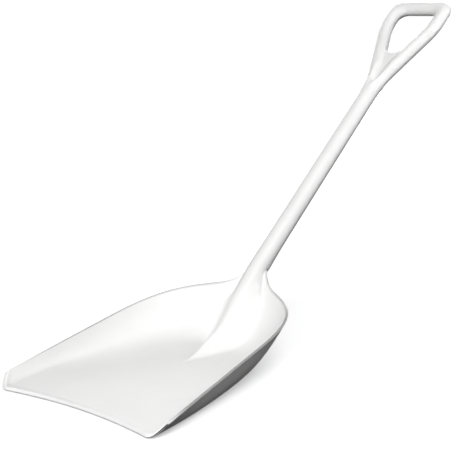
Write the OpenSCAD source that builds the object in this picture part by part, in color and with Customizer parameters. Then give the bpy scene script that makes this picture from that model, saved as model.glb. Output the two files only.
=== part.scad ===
// Grain scoop shovel: a wide plastic pan blade, a straight round shaft and a D-grip.
// Units are millimetres. X runs across the blade, +Y from the front edge toward the grip, +Z up.
// The origin is the centre of the blade's flat underside, which lies on the plane z = 0.
// The blade, shaft and grip are separate mouldings joined by spigots and blind pins.

/* [Blade pan] */
// half of the pan's width at the rim, at the front edge
rim_half_w = 172; // [140:1:200]
// loss of rim half width per millimetre of length
rim_taper = 0.065; // [0:0.005:0.12]
// distance from the front edge at which the rim starts to curve round
shoulder_y = 244; // [200:1:280]
// length of the curved back part of the rim
shoulder_l = 194; // [150:1:240]
// exponent of the rim's back curve
shoulder_q = 3; // [2:0.1:4]
// rim height at the front edge
rim_z0 = 18; // [12:1:30]
// rise of the rim per millimetre of length
rim_rise = 0.173; // [0.1:0.001:0.25]
// half width of the flat floor at the front edge
floor_half_w = 149; // [120:1:170]
// length of the flat floor on the centre line
floor_l = 350; // [280:1:400]
// exponent of the floor's outline
floor_k = 1.4; // [0.8:0.1:2]
// how far the middle of the front edge is set back
front_dip = 15; // [0:1:25]
// how far the side walls' front ends are raked back
front_rake = 21; // [5:1:40]
// half width and length of the floor's level middle, inside the soft fillet at the walls' foot
level_half_w = 105; // [80:1:140]
level_l = 290; // [240:1:340]
// height of the soft fillet at the edge of the floor
foot_lift = 4.5; // [0:0.5:8]
// thickness of the floor
floor_t = 5.5; // [3:0.5:8]
// thickness of the walls at the rim
rim_t = 4; // [2.5:0.5:6]

/* [Neck] */
// rise of the rim where it runs into the shaft
neck_rise = 24.5; // [10:0.5:35]
// extra reach of the rim toward the shaft
neck_reach = 20; // [5:1:30]
// distance over which the rim sweeps up to the shaft
neck_run = 17.5; // [8:0.5:30]
// side slope of the ridge's flanks
ridge_flank = 1.25; // [0.8:0.05:2]
// width of the soft blend between the ridge and the pan
ridge_blend = 14; // [3:1:20]
// how much wider that blend gets toward the shaft
neck_blend = 26; // [0:1:40]
// distance from the front edge to the tip of the ridge's crest
crest_tip_y = 271; // [240:1:320]
// radius of the crest at its tip
crest_tip_r = 3; // [1:0.5:10]
// slope of the crest over the floor
crest_low = 0.465; // [0.2:0.005:0.75]
// distance from the front edge at which the crest bends down from the shaft's line
crest_bend_y = 428; // [380:1:440]
// slope of the crest along the back wall
crest_back = 1; // [0.8:0.05:1.5]
// half thickness of the rim where it meets the shaft's side
flange_half = 2; // [1:0.5:4]
// end of the blade's neck, measured along the shaft's axis
neck_end = 36; // [20:1:60]

/* [Shaft] */
// lift of the shaft's axis above the ground plane, degrees
shaft_lift = 37; // [25:0.5:50]
// height of the shaft's axis above the ground 440 mm behind the front edge
shaft_z = 104.8; // [90:0.2:120]
// radius of the shaft
shaft_r = 17.6; // [12:0.2:24]
// radius of the hollow inside the shaft
bore_r = 13.2; // [8:0.2:16]
// end of the shaft, measured along its axis
shaft_end = 472; // [400:1:560]

/* [Grip] */
// radius of the round bar and arms
grip_r = 13.9; // [10:0.1:18]
// start of the two arms along the shaft's axis
arm_start = 507; // [490:1:540]
// end of the straight part of each arm along the shaft's axis
arm_end = 668; // [620:1:700]
// half of the distance between the arms at that end
arm_half_w = 49; // [40:1:60]
// radius of the gentle bend above the straight part
arm_bend_r = 170; // [100:5:260]
// radius of the two top corners, to the middle of the bar
corner_r = 33; // [20:1:45]
// radius of those corners on the outside
corner_out_r = 24; // [5:1:45]
// middle of the hand bar along the shaft's axis
bar_s = 752.5; // [700:0.5:800]
// thickness of the web between the arms
web_t = 15; // [8:1:20]
// bottom of the hand opening along the shaft's axis
opening_s = 607; // [590:1:640]

/* [Joints] */
// length of the spigots on each side of a joint
spigot_half = 34; // [20:1:50]
// radius of the blind pins
pin_r = 3; // [2:0.5:4]
// length of the blind pins
pin_l = 13; // [8:1:18]

/* [Hidden] */
// distance from the front edge to the origin
origin_y = 150;
// distance from the front edge to the point where shaft_z is measured
neck_y = 440;
// length over which the setback of the front edge fades away
dip_l = 120;
// length over which the fillet at the walls' foot begins behind the front edge
foot_fade = 100;
// how far outside the level middle the fillet reaches its height, as a share of the middle's size
foot_reach = 0.35;
// half width of the rim's sweep that runs at full strength
sweep_flat = 19;
// share of the wall's columns in which its front end curves round
corner_share = 0.12;
// how strongly the floor's columns crowd toward the middle
floor_crowd = 1.6;
// how much steeper the ridge's flanks get at the shaft, and how late that happens
flank_stand = 30;
stand_power = 20;
// how late the soft blend fades out at the shaft
blend_power = 8;
// widths of the soft blends along the crest and at the yoke's start
crest_blend = 8;
yoke_blend = 12;
// share of the wall's height at which the neck's round underside begins, and over which it grows
neck_from = 0.25;
neck_over = 0.5;
// underside heights below this are flat floor
flat_tol = 0.02;
// where the sleeve starts to fade into the yoke, and over what length
fade_s = 518;
fade_l = 76;
// width of the slope from the web to the yoke's outer edge
web_edge = 4;
// distance of a pin from its joint, and how far it sits below the surface
pin_gap = 17;
pin_sink = 0.6;
// extra length of the cuts that make the sockets and pin holes
cut_over = 5;
mouth_over = 2;
// mesh steps along the rim, across the floor and up the walls
steps_v = 44;
steps_k = 24;
steps_u = 9;
// samples of the rim's side, of the rim's back curve and of the floor's outline
side_n = 20;
back_n = 80;
floor_n = 100;
// mesh steps of the grip: sleeve end, yoke edge and round section
steps_e = 6;
steps_b = 10;
steps_m = 14;
stem_cols = steps_e + steps_b;
// mesh steps of an arm's straight part, its bend and a top corner
arm_n = 3;
bend_n = 3;
corner_n = 7;
// tilt of the arms from the shaft's axis, degrees
arm_tilt = atan(arm_half_w / (arm_end - arm_start));
// centre of the gentle bend
bend_x = arm_half_w - arm_bend_r * cos(arm_tilt);
bend_s = arm_end + arm_bend_r * sin(arm_tilt);
// widest half width of the arms' centre line
loop_x = bend_x + arm_bend_r;

$fn = 96;

// ---- outline curves of the pan, right half, y measured from the front edge ----

// rim half width before the back curve
function rim_w(y) = rim_half_w - rim_taper * y;

// strength of the neck's sweep at a distance x from the centre line
function sweep(x) = exp(-max(0, abs(x) - sweep_flat) / neck_run);

// a rim point from its plain outline position
function rim_pt(x, y) = [x, y + neck_reach * sweep(x), rim_z0 + rim_rise * y + neck_rise * sweep(x)];

// outline point on the curved back, a = 0 at the shoulder and 90 at the centre line
function back_pt(a) = let (y = shoulder_y + shoulder_l * pow(sin(a), 2 / shoulder_q))
    rim_pt(rim_w(y) * cos(a), y);

// floor outline point, a = 0 at the front edge and 90 at the back
function floor_pt(a) = [floor_half_w * pow(cos(a), floor_k), floor_l * sin(a), 0];

// floor outline point near the centre line at a given x
function floor_neck_pt(x) =
    let (c = pow(abs(x) / floor_half_w, 1 / floor_k))
    [x, floor_l * sqrt(1 - c * c), 0];

// angles at which the two curves reach the ridge's side
rim_a_end = acos(shaft_r / rim_w(shoulder_y + shoulder_l));
floor_a_end = acos(pow(shaft_r / floor_half_w, 1 / floor_k));

// directions along the shaft's axis and square to it, upward
axis_dir = [0, cos(shaft_lift), sin(shaft_lift)];
axis_up = [0, -sin(shaft_lift), cos(shaft_lift)];

// point on the neck's round end face; a runs from 0 at the right side over the top to 180
function end_pt(a) = [0, neck_y, shaft_z] + neck_end * axis_dir + shaft_r * sin(a) * axis_up
    + [shaft_r * cos(a), 0, 0];

// the end face's top half starts a little above the side, where the rim's edge meets it
end_a0 = asin(flange_half / shaft_r);

// angle on the end face for a column of the ridge
function end_a(c) = end_a0 + (180 - 2 * end_a0) * (c - steps_v) / steps_k;

// fine samples of both curves from the front edge to the ridge's side
rim_curve = concat(
    [for (i = [0:side_n - 1]) let (y = front_rake + (shoulder_y - front_rake) * i / side_n)
        rim_pt(rim_w(y), y)],
    [for (i = [0:back_n]) back_pt(rim_a_end * i / back_n)],
    [end_pt(end_a0)]);
floor_curve = [for (i = [0:floor_n]) floor_pt(floor_a_end * i / floor_n)];

// running length along a curve
function run_lengths(c) =
    [for (i = 0, s = 0; i < len(c); s = i + 1 < len(c) ? s + norm(c[i + 1] - c[i]) : s, i = i + 1) s];

// table for looking up one coordinate by the share of the length
function share_table(c, axis) =
    let (s = run_lengths(c), total = s[len(s) - 1])
    [for (i = [0:len(c) - 1]) [s[i] / total, c[i][axis]]];

rim_x = share_table(rim_curve, 0);
rim_y = share_table(rim_curve, 1);
rim_z = share_table(rim_curve, 2);
floor_x = share_table(floor_curve, 0);
floor_y = share_table(floor_curve, 1);

// columns of the wall mesh: right side, ridge, left side
cols = 2 * steps_v + steps_k + 1;

function rim_at(c) =
    c <= steps_v ? let (v = c / steps_v) [lookup(v, rim_x), lookup(v, rim_y), lookup(v, rim_z)]
    : c < steps_v + steps_k ? end_pt(end_a(c))
    : let (p = rim_at(cols - 1 - c)) [-p[0], p[1], p[2]];

function floor_at(c) =
    c <= steps_v ? let (v = c / steps_v) [lookup(v, floor_x), lookup(v, floor_y), 0]
    : c < steps_v + steps_k ? floor_neck_pt(shaft_r * cos(end_a(c)))
    : let (p = floor_at(cols - 1 - c)) [-p[0], p[1], 0];

// ---- surface of the pan ----

// wall profile: flat at the floor, steep at the rim
function wall_z(u) = 2 * pow(u, 3) - pow(u, 4);

// cross position of a floor column from -1 to 1, closer together in the middle
function floor_share(k) = let (t = 1 - 2 * k / steps_k) sign(t) * pow(abs(t), floor_crowd);

// setback of the front edge's middle, fading away behind it
function dip(x, y) =
    front_dip * max(0, 1 - pow(x / floor_half_w, 2)) * pow(max(0, 1 - y / dip_l), 2);

// height of the shaft's top line, carried on below the neck
function shaft_top(y) = shaft_z + tan(shaft_lift) * (y - neck_y) + shaft_r / cos(shaft_lift);

// height of the ridge's crest: the shaft's line, then steeper down the back wall, then flatter
function crest_z(y) =
    let (back = shaft_top(crest_bend_y) + crest_back * (y - crest_bend_y),
        low = floor_t + crest_low * (y - crest_tip_y))
    soft_max(-soft_max(-shaft_top(y), -back, crest_blend), low, crest_blend);

// radius of the crest, growing from its tip to the shaft's radius
function crest_r(y) =
    let (t = min(1, max(0, (y - crest_tip_y) / (crest_bend_y - crest_tip_y))))
    crest_tip_r + (shaft_r - crest_tip_r) * t;

// round top of radius r that turns into a straight side where its slope reaches m
function ridge_round(x, r, m) = let (t = r * m / sqrt(1 + m * m))
    x < t ? sqrt(r * r - x * x) : sqrt(r * r - t * t) - m * (x - t);

// height of the ridge that carries the shaft's line, with sloping flanks
function ridge_z(x, y, u) =
    let (r = crest_r(y), m = ridge_flank + flank_stand * pow(u, stand_power))
    crest_z(y) - (r - ridge_round(abs(x), r, m)) / cos(shaft_lift);

// smooth step from 0 to 1
function smooth(t) = let (c = min(1, max(0, t))) c * c * (3 - 2 * c);

// the higher of two heights, softly blended over k
function soft_max(a, b, k) =
    let (h = min(1, max(0, 0.5 + 0.5 * (a - b) / k)))
    b * (1 - h) + a * h + k * h * (1 - h);

// height of the soft fillet where the floor turns up into the walls
function foot_z(x, y, u) =
    let (t = max(0, norm([x / level_half_w, y / level_l]) - 1) / foot_reach)
    foot_lift * t * t * smooth(y / foot_fade) * pow(1 - u, 2);

// surface from a plain point; u tells how far up the wall it is, lift is 1 with the fillet
function dress(p, u, lift) =
    let (blend = 1 + (ridge_blend - 1 + neck_blend * u * u) * (1 - pow(u, blend_power)))
    [p[0], p[1] + dip(p[0], p[1]),
        soft_max(p[2] + lift * foot_z(p[0], p[1], u), ridge_z(p[0], p[1], u), blend)];

// the walls' front ends curve round from the front edge
function corner_power(c) = 1 + max(0, 1 - min(c, cols - 1 - c) / (corner_share * steps_v));

function wall_pt(c, i, lift) =
    let (u = i / steps_u, f = floor_at(c), r = rim_at(c), w = pow(u, corner_power(c)))
    dress([f[0] + (r[0] - f[0]) * u, f[1] + (r[1] - f[1]) * w,
        floor_t + (r[2] - floor_t) * wall_z(u)], u, lift);

function floor_grid_pt(j, k, lift) =
    let (f = j < steps_v ? floor_at(j) : floor_at(steps_v + k))
    dress([j < steps_v ? f[0] * floor_share(k) : f[0], f[1], floor_t], 0, lift);

// grids of the floor and the walls; the fillet is only on the top
function floor_grid(lift) =
    [for (j = [0:steps_v]) [for (k = [0:steps_k]) floor_grid_pt(j, k, lift)]];
function wall_grid(lift) = [for (c = [0:cols - 1]) [for (i = [0:steps_u]) wall_pt(c, i, lift)]];
top_floor = floor_grid(1);
top_wall = wall_grid(1);
flat_floor = floor_grid(0);
flat_wall = wall_grid(0);

// underside point: one thickness along the surface's normal
function offset_pt(p, across, along, t) =
    let (n = cross(across, along), m = n[2] < 0 ? -n : n)
    p - t * m / norm(m);

function pick(a, i) = a[min(len(a) - 1, max(0, i))];

low_floor = [for (j = [0:steps_v]) [for (k = [0:steps_k])
    let (q = offset_pt(flat_floor[j][k],
        pick(flat_floor[j], k + 1) - pick(flat_floor[j], k - 1),
        pick(flat_floor, j + 1)[k] - pick(flat_floor, j - 1)[k], floor_t))
    [q[0], q[1], q[2] < flat_tol ? 0 : q[2]]]];

// share of the neck's full round in the underside, rising toward the neck's end
function neck_share(u) = smooth((u - neck_from) / neck_over);

// the point opposite a top point through the shaft's mid plane
function opposite(p) = p - 2 * sqrt(max(0, shaft_r * shaft_r - p[0] * p[0])) * axis_up;

low_wall = [for (c = [0:cols - 1]) [for (i = [0:steps_u])
    let (p = flat_wall[c][i],
        q = offset_pt(p,
            pick(flat_wall[c], i + 1) - pick(flat_wall[c], i - 1),
            pick(flat_wall, c + 1)[i] - pick(flat_wall, c - 1)[i],
            floor_t + (rim_t - floor_t) * i / steps_u),
        n = c >= steps_v && c <= steps_v + steps_k ? neck_share(i / steps_u) : 0,
        m = (1 - n) * q + n * opposite(p))
    [m[0], m[1], max(0, m[2])]]];

// ---- one closed shell from the top and underside grids ----

n_floor = (steps_v + 1) * (steps_k + 1);
n_side = n_floor + cols * steps_u;

function floor_id(j, k) = j * (steps_k + 1) + k;

// wall row 0 is the floor grid's edge
function wall_id(c, i) =
    i > 0 ? n_floor + c * steps_u + i - 1
    : c <= steps_v ? floor_id(c, 0)
    : c < steps_v + steps_k ? floor_id(steps_v, c - steps_v)
    : floor_id(cols - 1 - c, steps_k);

function side_pts(fl, wa) = concat(
    [for (j = [0:steps_v]) for (k = [0:steps_k]) fl[j][k]],
    [for (c = [0:cols - 1]) for (i = [1:steps_u]) wa[c][i]]);

shell_pts = concat(side_pts(top_floor, top_wall), side_pts(low_floor, low_wall));

top_faces = concat(
    [for (j = [0:steps_v - 1]) for (k = [0:steps_k - 1])
        [floor_id(j, k), floor_id(j, k + 1), floor_id(j + 1, k + 1), floor_id(j + 1, k)]],
    [for (c = [0:cols - 2]) for (i = [0:steps_u - 1])
        [wall_id(c, i), wall_id(c + 1, i), wall_id(c + 1, i + 1), wall_id(c, i + 1)]]);

low_faces = [for (f = top_faces) [f[3] + n_side, f[2] + n_side, f[1] + n_side, f[0] + n_side]];

// strip between an edge of the top and the same edge of the underside
function edge_strip(a, b) = [a, b, b + n_side, a + n_side];

edge_faces = concat(
    [for (c = [0:cols - 2]) edge_strip(wall_id(c, steps_u), wall_id(c + 1, steps_u))],
    [for (k = [0:steps_k - 1]) edge_strip(floor_id(0, k + 1), floor_id(0, k))],
    [for (i = [0:steps_u - 1]) edge_strip(wall_id(0, i), wall_id(0, i + 1))],
    [for (i = [0:steps_u - 1]) edge_strip(wall_id(cols - 1, i + 1), wall_id(cols - 1, i))]);

// ---- D-grip, in the plane of its loop: x across and s along the shaft's axis ----

// radius and centre of the round bottom of the hand opening, touching both arms
opening_r = ((arm_half_w - grip_r * cos(arm_tilt)) * cos(arm_tilt)
    - (arm_end + grip_r * sin(arm_tilt) - opening_s) * sin(arm_tilt)) / (1 - sin(arm_tilt));
opening_c = opening_s + opening_r;

// place on the arm's middle line where the opening's bottom begins
root_x = (opening_r + grip_r) * cos(arm_tilt);
root_s = opening_c - (opening_r + grip_r) * sin(arm_tilt);

// end of the yoke's outer edge
edge_s = root_s - grip_r * sin(arm_tilt);

// half width of the yoke: the sleeve below, the arms' outer sides above
function yoke_line(s) = root_x + grip_r * cos(arm_tilt) + (s - edge_s) * tan(arm_tilt);
function yoke_w(s) = soft_max(shaft_r, yoke_line(s), yoke_blend);

// height of a round section at a distance d from its middle
function round_h(r, d) = sqrt(max(0, r * r - d * d));

// the sleeve's radius fades out inside the yoke
function sleeve_r(s) = shaft_r * (1 - smooth((s - fade_s) / fade_l));

// distance from the arm's middle line
function arm_d(x, s) = abs((abs(x) - arm_half_w) * cos(arm_tilt) - (s - arm_end) * sin(arm_tilt));

// half thickness of the yoke
function yoke_h(x, s) =
    let (xe = x * max(shaft_r, yoke_line(s)) / yoke_w(s),
        d = max(0, norm([x, s - opening_c]) - opening_r))
    min(d < grip_r ? round_h(grip_r, grip_r - d) : shaft_r,
        max(round_h(sleeve_r(s), xe), s > arm_start ? round_h(grip_r, arm_d(xe, s)) : 0,
            abs(xe) < yoke_line(s) - web_edge ? web_t / 2 : 0));

// inner and outer point of the round bar at a station [x, s] of its middle line that leans by a
function bar_sides(x, s, a) = let (r = grip_r * [cos(a), -sin(a)]) [[x, s] - r, [x, s] + r];

// inner and outer point in a top corner, a = 0 at the arm and 90 at the hand bar
function corner_sides(a) =
    let (inner_r = corner_r - grip_r, shift = grip_r - corner_out_r)
    [[loop_x - corner_r + inner_r * cos(a), bar_s - corner_r + inner_r * sin(a)],
        [loop_x + shift + corner_out_r * cos(a), bar_s + shift + corner_out_r * sin(a)]];

// arm, corner and bar stations of the right half: [inner point, outer point]
loop_path = concat(
    [for (i = [0:arm_n]) let (t = i / arm_n)
        bar_sides(root_x + (arm_half_w - root_x) * t, root_s + (arm_end - root_s) * t, arm_tilt)],
    [for (i = [1:bend_n]) let (a = arm_tilt * (1 - i / bend_n))
        bar_sides(bend_x + arm_bend_r * cos(a), bend_s - arm_bend_r * sin(a), a)],
    [for (i = [0:corner_n]) corner_sides(90 * i / corner_n)],
    [bar_sides(0, bar_s, -90)]);

// one station of the right half: inner point, outer point
function stem_inner(c) = let (a = -90 + (90 - arm_tilt) * c / stem_cols)
    [opening_r * cos(a), opening_c + opening_r * sin(a)];
function stem_outer(c) =
    c <= steps_e ? [shaft_r * sin(90 * c / steps_e), shaft_end]
    : let (s = shaft_end + (edge_s - shaft_end) * (c - steps_e) / steps_b) [yoke_w(s), s];

// height at the outer end of station c: half the end face's width on the sleeve's end, else none
function stem_end_h(c) = c < steps_e ? shaft_r * cos(90 * c / steps_e) : 0;

// point r of station c on the right half: [x, s, height]
function grip_pt(c, r) =
    let (b = 180 * r / steps_m, w = (1 - cos(b)) / 2)
    c < stem_cols
        ? let (p = stem_inner(c) * (1 - w) + stem_outer(c) * w)
            [p[0], p[1], r == steps_m ? stem_end_h(c) : yoke_h(p[0], p[1])]
        : let (q = loop_path[c - stem_cols], p = q[0] * (1 - w) + q[1] * w)
            [p[0], p[1], grip_r * sin(b)];

half_n = stem_cols + len(loop_path) - 1;
ring_n = 2 * half_n;

function ring_pt(c, r) = c <= half_n ? grip_pt(c, r)
    : let (p = grip_pt(ring_n - c, r)) [-p[0], p[1], p[2]];

grip_pts = concat(
    [for (c = [0:ring_n - 1]) for (r = [0:steps_m]) let (p = ring_pt(c, r)) [p[0], -p[2], p[1]]],
    [for (c = [0:ring_n - 1]) for (r = [0:steps_m]) let (p = ring_pt(c, r)) [p[0], p[2], p[1]]]);

// the sleeve's end face spans these stations
function on_end(c) = c < steps_e || c > ring_n - steps_e;

function up_id(c, r) = (c % ring_n) * (steps_m + 1) + r;
function dn_id(c, r) = r == 0 || (r == steps_m && !on_end(c % ring_n)) ? up_id(c, r)
    : up_id(c, r) + ring_n * (steps_m + 1);

grip_faces = concat(
    [for (c = [0:ring_n - 1]) for (r = [0:steps_m - 1])
        [up_id(c, r), up_id(c, r + 1), up_id(c + 1, r + 1), up_id(c + 1, r)]],
    [for (c = [0:ring_n - 1]) for (r = [0:steps_m - 1])
        [dn_id(c + 1, r), dn_id(c + 1, r + 1), dn_id(c, r + 1), dn_id(c, r)]],
    [for (c = [0:ring_n - 1]) if (on_end(c) || on_end((c + 1) % ring_n))
        [up_id(c, steps_m), dn_id(c, steps_m), dn_id(c + 1, steps_m), up_id(c + 1, steps_m)]]);

// ---- frames and shared shapes ----

// local Z runs up the shaft's axis, local +Y faces the underside
module along_shaft() {
    translate([0, neck_y - origin_y, shaft_z])
        rotate([shaft_lift - 90, 0, 0])
            children();
}

// a blind pin in the underside at a distance s along the shaft
module pin_at(s) {
    translate([0, shaft_r - pin_sink, s])
        rotate([90, 0, 0])
            cylinder(r = pin_r, h = pin_l);
}

// one pin on each side of both joints
pin_places = [neck_end - pin_gap, neck_end + pin_gap, shaft_end - pin_gap, shaft_end + pin_gap];

// a pin's hole with its open mouth
module pins_and_mouths() {
    for (s = pin_places)
        translate([0, mouth_over, 0])
            pin_at(s);
    for (s = pin_places)
        pin_at(s);
}

// ---- sub-parts ----

// the pan, its ridge and the socket for the shaft
module blade() {
    color([0.93, 0.93, 0.92])
        difference() {
            translate([0, -origin_y, 0])
                polyhedron(points = shell_pts, faces = concat(top_faces, low_faces, edge_faces),
                    convexity = 6);
            along_shaft()
                translate([0, 0, neck_end - spigot_half])
                    cylinder(r = bore_r, h = spigot_half + cut_over);
            along_shaft()
                pins_and_mouths();
        }
}

// straight hollow shaft
module shaft() {
    color([0.94, 0.94, 0.93])
        along_shaft()
            difference() {
                translate([0, 0, neck_end])
                    cylinder(r = shaft_r, h = shaft_end - neck_end);
                translate([0, 0, neck_end - cut_over])
                    cylinder(r = bore_r, h = shaft_end - neck_end + 2 * cut_over);
                pins_and_mouths();
            }
}

// D-grip: sleeve, yoke, two arms and hand bar
module grip() {
    color([0.95, 0.95, 0.94])
        along_shaft()
            difference() {
                polyhedron(points = grip_pts, faces = grip_faces, convexity = 6);
                translate([0, 0, shaft_end - cut_over])
                    cylinder(r = bore_r, h = spigot_half + cut_over);
                pins_and_mouths();
            }
}

// a spigot with its pin holes, centred on a joint
module spigot(s) {
    along_shaft()
        difference() {
            translate([0, 0, s - spigot_half])
                cylinder(r = bore_r, h = 2 * spigot_half);
            pins_and_mouths();
        }
}

// solid peg that joins the blade and the shaft
module neck_spigot() {
    color([0.75, 0.75, 0.76])
        spigot(neck_end);
}

// solid peg that joins the shaft and the grip
module grip_spigot() {
    color([0.75, 0.75, 0.76])
        spigot(shaft_end);
}

// foam that fills the hollow between the two spigots
module shaft_core() {
    color([0.98, 0.97, 0.90])
        along_shaft()
            translate([0, 0, neck_end + spigot_half])
                cylinder(r = bore_r, h = shaft_end - neck_end - 2 * spigot_half);
}

// four identical blind pins that lock the spigots
module joint_pins() {
    color([0.85, 0.85, 0.85])
        along_shaft()
            for (s = pin_places)
                pin_at(s);
}

blade();
shaft();
grip();
neck_spigot();
grip_spigot();
shaft_core();
joint_pins();
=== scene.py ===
"""Grain scoop shovel: the looks of the blade, shaft and D-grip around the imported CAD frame."""

import math

import bmesh
import bpy
import numpy as np
from mathutils import Matrix, Vector


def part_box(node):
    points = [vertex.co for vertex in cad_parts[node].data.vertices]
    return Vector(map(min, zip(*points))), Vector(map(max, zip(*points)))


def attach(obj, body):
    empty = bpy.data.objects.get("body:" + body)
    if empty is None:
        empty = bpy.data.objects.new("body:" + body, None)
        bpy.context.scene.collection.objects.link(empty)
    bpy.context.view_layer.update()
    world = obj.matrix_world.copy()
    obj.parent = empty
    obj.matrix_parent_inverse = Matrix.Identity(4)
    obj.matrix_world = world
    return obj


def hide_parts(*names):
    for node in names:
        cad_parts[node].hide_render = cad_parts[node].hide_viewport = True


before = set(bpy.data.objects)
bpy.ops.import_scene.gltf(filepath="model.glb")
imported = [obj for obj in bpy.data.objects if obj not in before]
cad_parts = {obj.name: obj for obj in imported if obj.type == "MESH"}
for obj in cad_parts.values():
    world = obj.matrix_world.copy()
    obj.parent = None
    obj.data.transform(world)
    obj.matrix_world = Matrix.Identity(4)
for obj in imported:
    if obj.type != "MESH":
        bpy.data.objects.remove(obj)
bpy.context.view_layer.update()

MM = 0.001

# ---------------------------------------------------------------- dimensions shared with the CAD

# In millimetres, with y measured from the front edge and s along the shaft's axis from the neck's origin.
ORIGIN_Y = 150.0

# Pan: rim, back curve, floor outline, front edge, fillet at the foot of the walls, and thickness.
RIM_HALF_W, RIM_TAPER = 172.0, 0.065
RIM_Z0, RIM_RISE = 18.0, 0.173
SHOULDER_Y, SHOULDER_L, SHOULDER_Q = 244.0, 194.0, 3.0
FLOOR_HALF_W, FLOOR_L, FLOOR_K = 149.0, 350.0, 1.4
FRONT_DIP, DIP_L = 15.0, 120.0
FRONT_RAKE, CORNER_SHARE = 21.0, 0.12
LEVEL_HALF_W, LEVEL_L = 105.0, 290.0
FOOT_LIFT, FOOT_FADE, FOOT_REACH = 4.5, 100.0, 0.35
FLOOR_T, RIM_T, FLAT_TOL = 5.5, 4.0, 0.02

# Neck and ridge. Only STAND_POWER differs from the CAD's 20, for a softer valley beside the neck.
NECK_RISE, NECK_REACH, NECK_RUN, SWEEP_FLAT = 24.5, 20.0, 17.5, 19.0
RIDGE_FLANK, RIDGE_BLEND, NECK_BLEND, BLEND_POWER = 1.25, 14.0, 26.0, 8
FLANK_STAND, STAND_POWER = 30.0, 24
CREST_TIP_Y, CREST_TIP_R, CREST_LOW = 271.0, 3.0, 0.465
CREST_BEND_Y, CREST_BACK, CREST_BLEND = 428.0, 1.0, 8.0
FLANGE_HALF, NECK_END = 2.0, 36.0
NECK_FROM, NECK_OVER = 0.25, 0.5

# Shaft and the spigots' sockets.
SHAFT_LIFT, SHAFT_Z, NECK_Y = math.radians(37.0), 104.8, 440.0
SHAFT_R, BORE_R, SHAFT_END, SPIGOT_HALF = 17.6, 13.2, 472.0, 34.0

# Grip: round bar, arms, top corners, web and yoke.
GRIP_R, BAR_S = 13.9, 752.5
ARM_START, ARM_END, ARM_HALF_W, ARM_BEND_R = 507.0, 668.0, 49.0, 170.0
CORNER_R, CORNER_OUT_R = 33.0, 24.0
WEB_T, OPENING_S = 15.0, 607.0
YOKE_BLEND, FADE_S, FADE_L = 12.0, 518.0, 76.0

# ---------------------------------------------------------------- details of the finished meshes

# Bead along the front edge, its quarter round above and below, and the rounding of the rims.
LIP_H, LIP_W, LIP_ROUND, LOW_ROUND = 1.5, 4.5, 4.0, 2.4
RIM_ROUND, RIM_SEGMENTS = 1.8, 4

# Painted shade along the rim's edge: mesh steps over which it fades in and out, what is left at the neck,
# and its shade.
RIM_SHADE_NAME = "painted_rim_shade"
RIM_SHADE_FADE, NECK_RIM_SHADE, RIM_SHADE_GREY = 24, 0.1, 0.45

# Lower halves of the shaft and grip: how flat they run into the sides, and the ledge between the halves.
LOWER_FLAT, LEDGE, LEDGE_RUN = 3.2, 0.35, 50.0

# Recess in the yoke: its start, its end, its width and how its floor rises to the sides.
RECESS_S, RECESS_RUN = 500.0, 24.0
RECESS_OUT, RECESS_OUT_RUN = 566.0, 30.0
RECESS_W, RECESS_FLARE, RECESS_RISE, RECESS_BLEND = 6.0, 0.15, 6.0, 1.2

# Soft joins in the yoke, which grow from the outer side or from the opening over a run.
WEB_INSET, WEB_SLOPE = 2.0, 6.0
ARM_JOIN, WEB_JOIN, SIDE_RUN = 3.0, 5.0, 8.0
OPENING_JOIN, OPENING_RUN = 3.0, 6.0
NO_BLEND = 0.01

# Creases steeper than these angles in degrees stay sharp, and points this close are merged.
SHAFT_CREASE, GRIP_CREASE = 24.0, 30.0
WELD, WELD_CLIPPED = 0.0005, 0.001

# Mesh steps of the pan: back along the rim, across the floor and up the walls.
STEPS_V, STEPS_K, STEPS_U = 150, 72, 36
ROW_CROWD, FLOOR_CROWD = 1.25, 1.6
SIDE_N, CURVE_N = 60, 400

# Mesh steps of the shaft: half a section, then rings near the neck and beyond it.
HALF_N, NEAR_N, FAR_N, FAR_GAP = 65, 14, 26, 20.0

# Mesh steps of the grip: sleeve end, yoke edge, round section, and the stretches of the loop.
STEPS_E, STEPS_B, STEPS_M = 30, 70, 48
ARM_N, BEND_N, CORNER_N, BAR_N = 24, 24, 36, 14

# ---------------------------------------------------------------- derived values

AXIS = np.array([0.0, math.cos(SHAFT_LIFT), math.sin(SHAFT_LIFT)])
AXIS_UP = np.array([0.0, -math.sin(SHAFT_LIFT), math.cos(SHAFT_LIFT)])
ACROSS = np.array([1.0, 0.0, 0.0])
NECK = np.array([0.0, NECK_Y, SHAFT_Z])
END_A0 = math.asin(FLANGE_HALF / SHAFT_R)
MIRROR = np.array([-1.0, 1.0, 1.0])

# How far back each row and each wall column starts, as a share of the outline's length.
ROW_SHARE = np.linspace(0.0, 1.0, STEPS_V + 1) ** ROW_CROWD
COL_SHARE = np.concatenate([ROW_SHARE[:-1], np.ones(STEPS_K + 1), ROW_SHARE[-2::-1]])
COLS = len(COL_SHARE)
CENTRE = slice(STEPS_V, STEPS_V + STEPS_K + 1)
N_FLOOR = (STEPS_V + 1) * (STEPS_K + 1)
N_SIDE = N_FLOOR + COLS * STEPS_U

# The arms' tilt, their bend, the opening's round bottom and the end of the yoke's outer edge.
ARM_TILT = math.atan(ARM_HALF_W / (ARM_END - ARM_START))
SIN_T, COS_T = math.sin(ARM_TILT), math.cos(ARM_TILT)
BEND_X, BEND_S = ARM_HALF_W - ARM_BEND_R * COS_T, ARM_END + ARM_BEND_R * SIN_T
LOOP_X = BEND_X + ARM_BEND_R
OPENING_R = ((ARM_HALF_W - GRIP_R * COS_T) * COS_T
             - (ARM_END + GRIP_R * SIN_T - OPENING_S) * SIN_T) / (1.0 - SIN_T)
OPENING_C = OPENING_S + OPENING_R
ROOT_X, ROOT_S = (OPENING_R + GRIP_R) * COS_T, OPENING_C - (OPENING_R + GRIP_R) * SIN_T
EDGE_S = ROOT_S - GRIP_R * SIN_T
STEM = STEPS_E + STEPS_B
CLEAR_H = SHAFT_R + 4.0


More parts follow.
